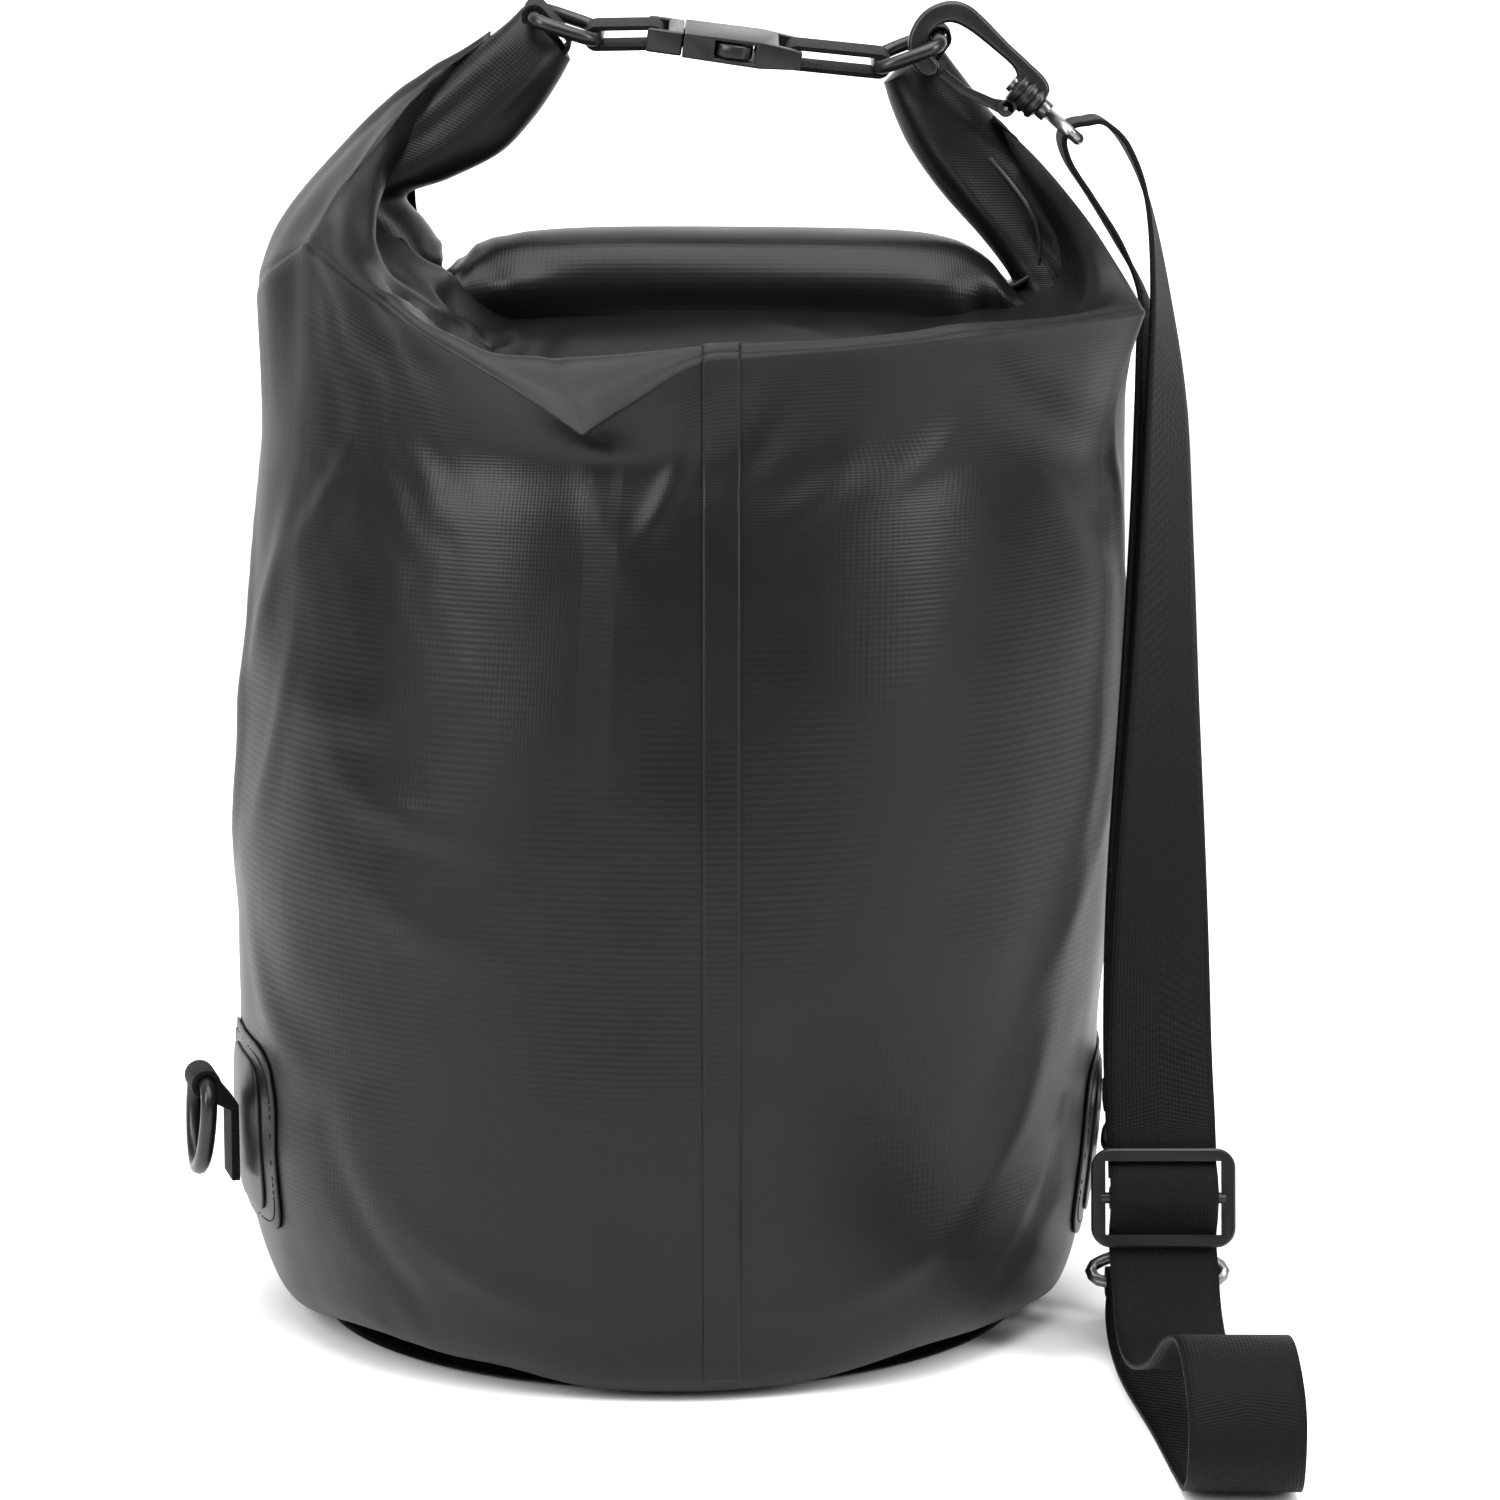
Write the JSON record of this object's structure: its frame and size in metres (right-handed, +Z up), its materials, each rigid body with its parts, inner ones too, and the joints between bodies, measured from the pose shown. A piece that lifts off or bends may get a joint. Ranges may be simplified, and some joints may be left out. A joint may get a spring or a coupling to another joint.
{
  "type": "roll-top rope storage bag",
  "caption": "Roll-top waterproof bag for rope, with its rolled mouth clipped into a carry handle by a side-release buckle, and a shoulder strap on two swivel snap hooks.",
  "frame": {"origin": "centre of the underside of the round base", "axes": "+Z up through the rolled mouth, -Y towards the welded front seam, +X towards the shoulder strap"},
  "size_m": [0.3848, 0.4158, 0.4768],
  "materials": {
    "coated_fabric": "satin black coated tarpaulin with a fine woven scrim",
    "webbing": "black twill webbing, slight sheen",
    "moulded_plastic": "black moulded plastic, fine grain",
    "painted_metal": "black painted wire",
    "plain_steel": "plain steel"
  },
  "bodies": {
    "root": {"bag_wall": "coated_fabric", "bag_base": "coated_fabric", "seam_tape": "coated_fabric", "roll_top": "coated_fabric", "stiffener_strip": "moulded_plastic", "left_patch": "coated_fabric", "left_patch_pad": "coated_fabric", "right_patch": "coated_fabric", "right_patch_pad": "coated_fabric", "left_ring_keeper": "webbing", "right_ring_keeper": "webbing", "left_end_tab": "webbing", "right_end_tab": "webbing", "left_buckle_webbing": "webbing", "right_buckle_webbing": "webbing", "shoulder_strap": "webbing"},
    "left_d_ring": {"left_d_ring": "painted_metal"},
    "right_d_ring": {"right_d_ring": "painted_metal"},
    "left_handle_ring": {"left_handle_ring": "painted_metal"},
    "right_handle_ring": {"right_handle_ring": "painted_metal"},
    "buckle_female": {"buckle_female": "moulded_plastic"},
    "buckle_male": {"buckle_male": "moulded_plastic"},
    "prong_near": {"buckle_prong_near": "moulded_plastic"},
    "prong_far": {"buckle_prong_far": "moulded_plastic"},
    "top_eye": {"top_hook_eye": "plain_steel"},
    "top_hook": {"top_hook": "moulded_plastic", "top_hook_gate_pin": "plain_steel"},
    "top_gate": {"top_hook_gate": "moulded_plastic"},
    "lower_eye": {"lower_hook_eye": "plain_steel"},
    "lower_hook": {"lower_hook": "moulded_plastic", "lower_hook_gate_pin": "plain_steel"},
    "lower_gate": {"lower_hook_gate": "moulded_plastic"},
    "slider": {"strap_slider": "painted_metal", "strap_end_wrap": "webbing"}
  },
  "joints": [
    {"name": "buckle_release", "type": "slide", "parent": "root", "child": "buckle_female", "axis": [0.9905, 0.0168, -0.1364], "range_m": [0, 0.022], "deforming": ["left_buckle_webbing", "right_buckle_webbing", "buckle_prong_near", "buckle_prong_far"]},
    {"name": "buckle_male_release", "type": "slide", "parent": "root", "child": "buckle_male", "axis": [0.9905, 0.0168, -0.1364], "range_m": [-0.0101, 0], "deforming": ["left_buckle_webbing", "right_buckle_webbing", "buckle_prong_near", "buckle_prong_far"]},
    {"name": "near_prong_squeeze", "type": "hinge", "parent": "buckle_male", "child": "prong_near", "pos_m": [0.00569, -0.00992, 0.4613], "axis": [0.1374, -0.1207, 0.9831], "range_deg": [0, 6], "stiffness_Nm_per_rad": 0.05},
    {"name": "far_prong_squeeze", "type": "hinge", "parent": "buckle_male", "child": "prong_far", "pos_m": [0.00569, 0.00994, 0.46374], "axis": [0.1374, -0.1207, 0.9831], "range_deg": [-6, 0], "stiffness_Nm_per_rad": 0.05},
    {"name": "left_handle_ring_swing", "type": "hinge", "parent": "root", "child": "left_handle_ring", "pos_m": [-0.0475, 0, 0.4712], "axis": [0, 0.9925, 0.1219], "range_deg": [-8, 8], "deforming": ["left_buckle_webbing"]},
    {"name": "right_handle_ring_swing", "type": "hinge", "parent": "root", "child": "right_handle_ring", "pos_m": [0.0964, 0, 0.4624], "axis": [0, 0.9925, 0.1219], "range_deg": [-8, 8], "deforming": ["right_buckle_webbing"]},
    {"name": "left_d_ring_swing", "type": "hinge", "parent": "root", "child": "left_d_ring", "pos_m": [-0.16861, -0.04418, 0.0915], "axis": [-0.2588, 0.9659, 0], "range_deg": [-12, 150]},
    {"name": "right_d_ring_swing", "type": "hinge", "parent": "root", "child": "right_d_ring", "pos_m": [0.17089, -0.00596, 0.088], "axis": [-0.0349, -0.9994, 0], "range_deg": [-2, 4]},
    {"name": "top_hook_swing", "type": "hinge", "parent": "root", "child": "top_eye", "pos_m": [0.0964, -0.0075, 0.462], "axis": [0, 1, 0], "range_deg": [-6, 2], "deforming": ["shoulder_strap"]},
    {"name": "top_hook_swivel", "type": "hinge", "parent": "top_eye", "child": "top_hook", "pos_m": [0.1265, -0.0075, 0.4435], "axis": [0.766, 0, -0.6428], "range_deg": [-10, 10]},
    {"name": "top_gate_open", "type": "hinge", "parent": "top_hook", "child": "top_gate", "pos_m": [0.11995, -0.0075, 0.43803], "axis": [0, 1, 0], "range_deg": [0, 18], "stiffness_Nm_per_rad": 0.02},
    {"name": "lower_hook_swing", "type": "hinge", "parent": "root", "child": "lower_eye", "pos_m": [0.1709, -0.0171, 0.0634], "axis": [0, 0.7768, -0.6298], "range_deg": [-2, 2], "deforming": ["shoulder_strap"]},
    {"name": "lower_hook_swivel", "type": "hinge", "parent": "lower_eye", "child": "lower_hook", "pos_m": [0.1766, -0.0385, 0.037], "axis": [0, -0.6298, -0.7768], "range_deg": [-5, 5]},
    {"name": "lower_gate_open", "type": "hinge", "parent": "lower_hook", "child": "lower_gate", "pos_m": [0.1682, -0.03755, 0.03816], "axis": [0, 0.7768, -0.6298], "range_deg": [0, 18], "stiffness_Nm_per_rad": 0.02},
    {"name": "slider_slide", "type": "slide", "parent": "root", "child": "slider", "axis": [-0.0111, 0.2229, 0.9748], "range_m": [0, 0.045], "deforming": ["shoulder_strap"]}
  ],
  "couplings": [
    {"joint": "buckle_male_release", "follows": "buckle_release", "ratio": -0.4545},
    {"joint": "far_prong_squeeze", "follows": "near_prong_squeeze", "ratio": -1}
  ]
}
